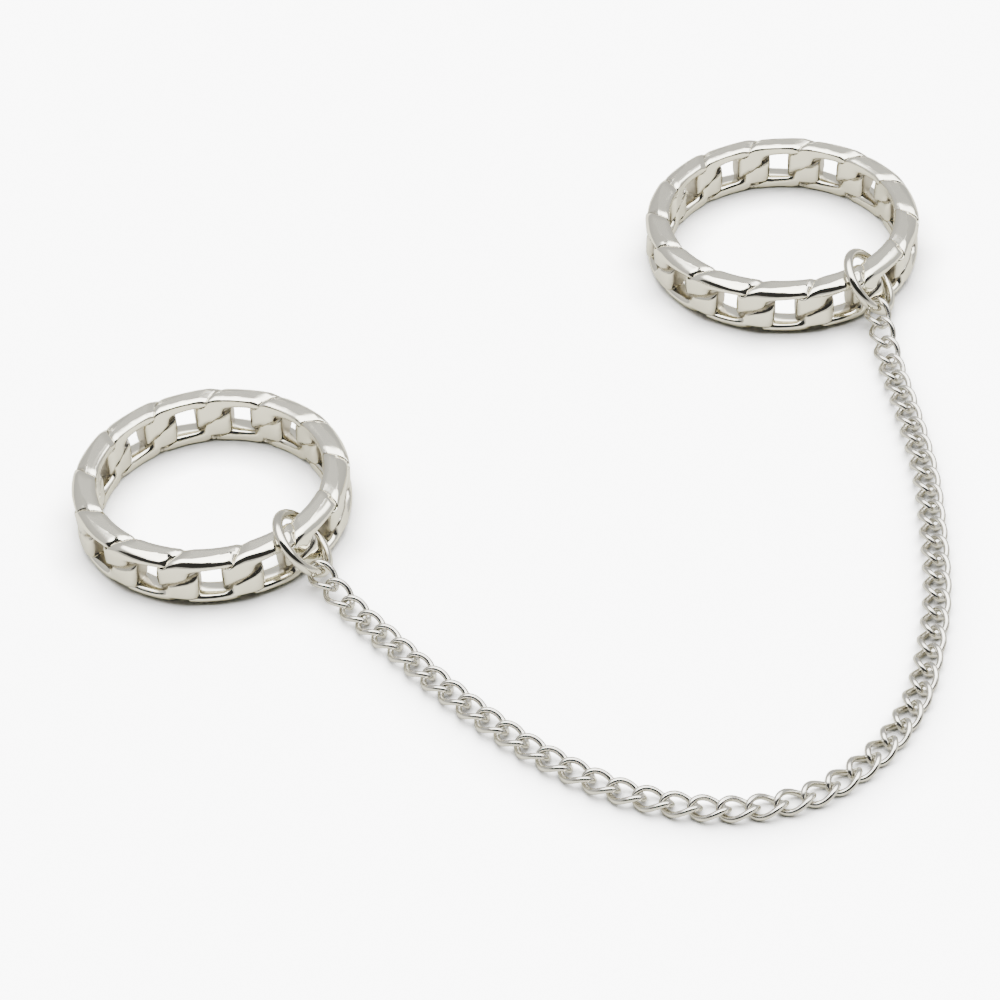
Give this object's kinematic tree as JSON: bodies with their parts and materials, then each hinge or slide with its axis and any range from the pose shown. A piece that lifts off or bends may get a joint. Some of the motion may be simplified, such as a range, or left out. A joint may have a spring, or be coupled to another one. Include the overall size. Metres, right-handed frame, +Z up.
{
  "type": "chain ring",
  "caption": "Two openwork finger rings in the form of curb-chain bands, joined by a long fine curb chain hooked on with jump rings, silver plated.",
  "frame": {"origin": "middle of the whole piece as it lies, on the surface it lies on", "axes": "+X to the right from one band to the other, +Y away from the viewer, from the chain's bend towards the right band, +Z up from the surface along the finger holes"},
  "size_m": [0.0681, 0.076, 0.0053],
  "materials": {
    "plated_bands": "bright silver plating, polished, with softly ground rims",
    "plated_wire": "bright silver plating on drawn wire",
    "plated_chain": "bright silver plating on fine wire"
  },
  "bodies": {
    "root": {"band_left": "plated_bands", "band_right": "plated_bands", "jump_ring_left": "plated_wire", "jump_ring_right": "plated_wire", "chain": "plated_chain"}
  },
  "joints": []
}
